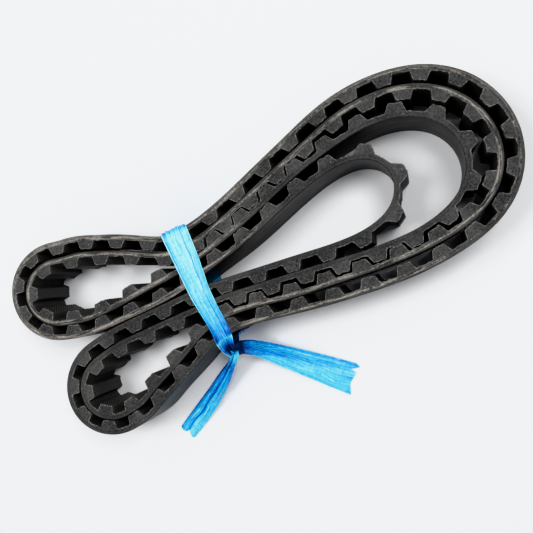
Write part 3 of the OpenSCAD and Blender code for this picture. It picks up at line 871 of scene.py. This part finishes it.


# Each station: place, width, pleat depth and depth of colour. The depth of colour holds painted light: navy
# in the hollow of the turned-over end by the knot as painted shade, pale on its slope over the near edge as
# a painted highlight, deeper on the top beside the near edge as painted shade, and near black on the pass
# up into the knot as painted shadow.
band_stations = [
    (KNOT.x - 2.8 * MM, KNOT.y - 3.4 * MM, KNOT.z + 0.2 * MM, 5 * MM, -1.4 * MM, 1.1),
    (KNOT.x - 2.6 * MM, KNOT.y + 0.6 * MM, KNOT.z + 4.4 * MM, 7.6 * MM, -1.2 * MM, 0.9),
    (TIE_X - 1.6 * MM, NEAR - 1.6 * MM, TOP - 3 * MM, 10.2 * MM, -0.5 * MM, 0.3),
    (TIE_X - 0.8 * MM, NEAR - 0.2 * MM, TOP - 0.5 * MM, 10.8 * MM, 0.1 * MM, 0.1),
    (TIE_X - 0.4 * MM, NEAR + 0.7 * MM, TOP, 10.8 * MM, 0.5 * MM, 0.85),
    (TIE_X - 0.4 * MM, NEAR + 2.2 * MM, TOP, 10.8 * MM, 0.6 * MM, 0.62),
    (TIE_X - 0.3 * MM, NEAR + 6 * MM, TOP, 10.5 * MM, 0.6 * MM, 0.52),
    (TIE_X - 0.6 * MM, NEAR + 11 * MM, TOP, 10.6 * MM, 0.6 * MM, 0.38),
    (TIE_X - 1.1 * MM, NEAR + 17 * MM, TOP, 11.0 * MM, 0.55 * MM, 0.26),
    (TIE_X - 1.8 * MM, NEAR + 29 * MM, TOP, 12.4 * MM, 0.5 * MM, 0.16),
    (TIE_X - 0.8 * MM, NEAR + 48 * MM, TOP, 15.0 * MM, 0.5 * MM, 0.12),
    (TIE_X - 0.3 * MM, FAR - 1.5 * MM, TOP, 16.2 * MM, 0.7 * MM, 0.04),
    (TIE_X - 0.3 * MM, FAR - 0.3 * MM, TOP, 16.4 * MM, 1.0 * MM, 0.34),
    (TIE_X - 0.3 * MM, FAR, TOP - 0.8 * MM, 16.4 * MM, 2.2 * MM, 0.45),
    (TIE_X, FAR, UNDER + 0.6 * MM, 14 * MM, 0.6 * MM, 0.35),
    (TIE_X, FAR - 0.6 * MM, UNDER, 13 * MM, 0.3 * MM, 0.3),
    (TIE_X - 2.4 * MM, NEAR + 38 * MM, UNDER, 9.6 * MM, 0.3 * MM, 0.44),
    (TIE_X, NEAR + 0.6 * MM, UNDER, 12 * MM, 0.3 * MM, 0.6),
    (TIE_X, NEAR, UNDER + 0.6 * MM, 12 * MM, 0.6 * MM, 0.8),
    (TIE_X + 1.6 * MM, NEAR - 0.1 * MM, KNOT.z - 12 * MM, 10 * MM, 0.6 * MM, 0.85),
    (TIE_X + 3 * MM, NEAR - 0.3 * MM, KNOT.z - 2 * MM, 7 * MM, 0.6 * MM, 1.1),
    (TIE_X + 2.8 * MM, NEAR - 0.9 * MM, KNOT.z + 2 * MM, 6.4 * MM, 0.6 * MM, 1.3),
    (TIE_X + 1.6 * MM, KNOT.y + 2.4 * MM, KNOT.z + 1.2 * MM, 6 * MM, 1 * MM, 1.3),
    (KNOT.x, KNOT.y, KNOT.z - 1 * MM, 5 * MM, 1 * MM, 1.2),
]


def band_lines(v, s):
    """How much deeper the band is in its creases, with more film and painted shade there, paler beside
    them, and painted shade in the cup that its end turns over into at the knot.
    """
    places = (-0.5, -0.45, -0.39, -0.2, 0.26, 0.31, 0.36, 0.76, 0.86, 0.92, 1)
    creases = np.interp(v, places, (0, 0.34, -0.06, 0, 0, 0.1, 0, 0, 0.2, -0.06, 0))
    return creases - 0.8 * v * fade(s / MM, begins=9, whole=0)


band_rows = eased(band_stations, step=0.6 * MM, reach=0.7 * MM)
band = film_piece(
    "tie_band_film",
    band_rows,
    np.tile((-1.0, 0.0, 0.0), (len(band_rows), 1)),
    pleats=[
        (-1, 0),
        (-0.8, 0.5),
        (-0.5, 0.65),
        (-0.45, 0.0),
        (-0.39, 0.8),
        (-0.2, 1),
        (-0.06, 0.65),
        (0.02, 0.8),
        (0.26, 0.95),
        (0.31, 0.45),
        (0.36, 0.85),
        (0.6, 0.75),
        (0.7, 0.2),
        (0.76, 0.6),
        (0.86, 0.1),
        (0.92, 0.5),
        (1, 0),
    ],
    layers=band_lines,
    waver=0.03,
    settle=hug,
)
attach(band, "waist")
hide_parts("tie_band")

# The knot: an overhand knot in the bunched film, pulled up short against the bundle's near edge.
# Each turn of it is the whole strip, gathered to a few millimetres, with painted shade darkening the
# hollows between.
KNOT_TURN, KNOT_WIDE, KNOT_PLEAT = 1.2 * MM, 3.8 * MM, 1.6 * MM
KNOT_MIDDLE = np.array(KNOT + Vector((0, -1.2 * MM, -2 * MM)))
round_knot = np.linspace(0, math.tau, 140)
aslant, outward = np.array([0, 0.78, 0.62]), np.array([0, -0.62, 0.78])
knot_line = (
    np.outer(np.sin(round_knot) + 2 * np.sin(2 * round_knot), (1, 0, 0))
    + np.outer(np.cos(round_knot) - 2 * np.cos(2 * round_knot), aslant)
    - np.outer(1.3 * np.sin(3 * round_knot), outward)
) * KNOT_TURN + KNOT_MIDDLE
knot_ahead = unit(np.gradient(knot_line, axis=0))
knot_out = unit(np.outer(np.ones(len(knot_line)), outward) + 0.5 * unit(knot_line - np.array(KNOT)))
# Painted shadow: the knot's colour deepens to near black towards the long tail's side.
knot_deep = np.interp(knot_line[:, 0], (KNOT.x - 4 * MM, KNOT.x + 1 * MM), (0.5, 1.2))
knot_shape = np.tile((KNOT_WIDE, KNOT_PLEAT), (len(knot_line), 1))
knot = film_piece(
    "tie_knot_film",
    np.column_stack([knot_line, knot_shape, knot_deep]),
    unit(np.cross(knot_out, knot_ahead)),
    pleats=[(-1, 0), (-0.6, 0.8), (-0.25, 0.3), (0.1, 1), (0.4, 0.4), (0.75, 0.8), (1, 0)],
    layers=lambda v, s: 0,
)
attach(knot, "waist")
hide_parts("tie_knot")

# The two tails: the film's loose ends, which leave the knot bunched and fan out down to the floor.
# Both are torn off more or less square. The long one has a nick in its end, the short one a split.
def tail(name, body, root, stations, flat, **shape):
    """A loose end of the film, from stations of place, width, pleat depth and depth of colour."""
    start, units = np.array((root.x, root.y, 0, 0, 0, 0)), (MM, MM, MM, MM, MM, 1)
    rows = eased([start + np.array(s) * units for s in stations], step=0.8 * MM, reach=2.5 * MM)
    sides = unit(np.cross((0, 0, 1), np.gradient(rows[:, :3], axis=0)))
    piece = film_piece(f"{name}_film", rows, sides, **shape)
    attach(piece, body)
    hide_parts(name)


def torn(points):
    """How far short of the end the film stops, from some places across it."""
    places, short = zip(*points)
    return lambda v: np.interp(v, places, short) * MM


def spread_panel(v, s):
    """The long tail's near panel opens out from the bunched film, and is paler than the rest of it."""
    crease_wide, step_wide, deeper = 0.05, 0.08, 0.07
    border = np.interp(s / MM, (9, 24, 40, 76), (-1, -0.3, 0.1, 0.5))
    # The border crease is painted deeper, partly for more film there, partly as painted shade.
    crease = np.exp(-(((v - border) / crease_wide) ** 2))
    paler = np.interp(s / MM, (34, 66), (0.18, 0.11))
    return fade(v - border, begins=0, whole=step_wide) * (paler + deeper) - paler + crease * 0.16


def doubled_half(v, s):
    """The short tail's far half lies double, so it is deeper, with two broken painted highlight lines down
    it.
    """
    border = -0.05 + 0.12 * np.sin(s / (7 * MM))
    far = np.interp(s / MM, (20, 60), (0.3, 0.2))
    near = np.interp(s / MM, (30, 70), (-0.04, -0.1))
    outer_highlight = fade(abs(v + 0.5), begins=0.09, whole=0) * np.clip(np.sin(s / (4 * MM)), 0, 1)
    inner_highlight = fade(abs(v + 0.25), begins=0.07, whole=0) * np.clip(-np.sin(s / (5 * MM)), 0, 1)
    highlight_lines = (outer_highlight + inner_highlight) * fade(s / MM, begins=16, whole=28)
    return np.where(v < border, far, near) - 0.36 * highlight_lines


def split_open(v, s):
    """Whether the short tail is split open at a place."""
    middle, widest, begins, ends = 0.72, 0.09, 32, 44
    return abs(v - middle) < widest * math.sin(math.pi * fade(s / MM, begins, ends))


tail(
    "tie_long_tail",
    "long_tail",
    KNOT + Vector((4.14 * MM, -2.81 * MM, 0)),
    [
        # The first stations' deep colour is bunched film and painted shade where the tail leaves the knot.
        (-3.6, 1.8, 22.5, 6.5, 1.5, 0.95),
        (-1.6, 0.6, 21, 7.8, 1.8, 0.65),
        (1.3, -0.9, 18, 9, 2, 0.42),
        (5.8, -6.1, 9.5, 10.2, 2, 0.38),
        (16.6, -17.6, 3.2, 13.4, 1.6, 0.32),
        (31.6, -31.9, 0.8, 16.8, 1, 0.27),
        (46.2, -45.7, 0.15, 19.2, 0.7, 0.28),
    ],
    flat=16 * MM,
    pleats=[
        (-1, 0),
        (-0.75, 0.3),
        (-0.45, 0.5),
        (-0.15, 0.4),
        (0.0, 0.1),
        (0.06, 0.8),
        (0.16, 0.35),
        (0.28, 0.8),
        (0.38, 0.5),
        (0.48, 0.95),
        (0.58, 0.6),
        (0.7, 1),
        (0.84, 0.5),
        (1, 0),
    ],
    waver=0.03,
    cut=torn([(-1, 0.7), (-0.35, 3.0), (0.4, 1.4), (0.52, 5.4), (0.82, 0.2), (1, 3.4)]),
    layers=spread_panel,
)
tail(
    "tie_short_tail",
    "short_tail",
    KNOT + Vector((-3.71 * MM, -3.37 * MM, 0)),
    [
        (2.6, 1.6, 24.5, 5, 1, 0.3),
        (0.2, -1.6, 23.2, 5.8, 1, 0.08),
        (-2.2, -3.4, 21.2, 5.2, 1.2, 0.25),
        (-4.8, -5.0, 18.5, 4.6, 1.4, 0.62),
        (-12.3, -8.7, 12.5, 7.5, 1.8, 0.45),
        (-28.2, -17.6, 5.5, 10.4, 1.8, 0.36),
        (-40.2, -23.4, 2.2, 11.3, 1.4, 0.3),
        (-57.2, -31.6, 0.15, 11.2, 0.9, 0.22),
    ],
    flat=12 * MM,
    pleats=[
        (-1, 0),
        (-0.8, 0.6),
        (-0.5, 1),
        (-0.25, 0.75),
        (-0.08, 0.0),
        (0.05, 0.55),
        (0.3, 0.75),
        (0.42, 0.35),
        (0.55, 0.6),
        (0.66, 0.5),
        (0.78, 0.45),
        (1, 0),
    ],
    waver=0.06,
    cut=torn([(-1, 0.6), (-0.6, 0), (-0.2, 0.8), (-0.1, 3.0), (0.3, 1.4), (0.7, 0.2), (1, 1.4)]),
    layers=doubled_half,
    parted=split_open,
)

# The studio: a plain pale floor, and soft light from two windows, one beyond each end of the bundle.
# The camera stands where the photograph was taken from, looking down.
FLOOR_HALF = 4.0
floor_corners = [(x * FLOOR_HALF, y * FLOOR_HALF, 0) for x, y in ((-1, -1), (1, -1), (1, 1), (-1, 1))]
floor_mesh = bpy.data.meshes.new("floor")
floor_mesh.from_pydata(floor_corners, [], [(0, 1, 2, 3)])
floor_paint, _, _ = finish("floor", Base_Color=(0.86, 0.865, 0.875, 1), Roughness=0.7)
floor_mesh.materials.append(floor_paint)
floor = link(bpy.data.objects.new("floor", floor_mesh))

world = bpy.data.worlds.new("studio")
bpy.context.scene.world = world
world.use_nodes = True
sky = world.node_tree.nodes["Background"].inputs
sky["Color"].default_value = (0.96, 0.98, 1.0, 1)
sky["Strength"].default_value = 0.54


def soft_light(name, place, size, power):
    """A round lamp that faces the middle of the bundle."""
    lamp = bpy.data.lights.new(name, "AREA")
    lamp.shape = "DISK"
    lamp.size = size
    lamp.energy = power
    made = link(bpy.data.objects.new(name, lamp))
    made.location = place
    made.rotation_euler = Vector(place).to_track_quat("Z", "Y").to_euler()


soft_light("window to the left", (-0.36, 0.22, 1.0), size=0.4, power=5.5)
soft_light("window to the right", (0.46, 0.12, 1.0), size=0.4, power=5.8)

camera = link(bpy.data.objects.new("camera", bpy.data.cameras.new("camera")))
camera.data.sensor_width = 36
camera.data.lens = 41.47
camera.location = (77.11 * MM, -30.67 * MM, 361.26 * MM)
camera.rotation_euler = [math.radians(a) for a in (-0.14, 14.21, -26.72)]
bpy.context.scene.camera = camera
bpy.context.scene.view_settings.view_transform = "Khronos PBR Neutral"
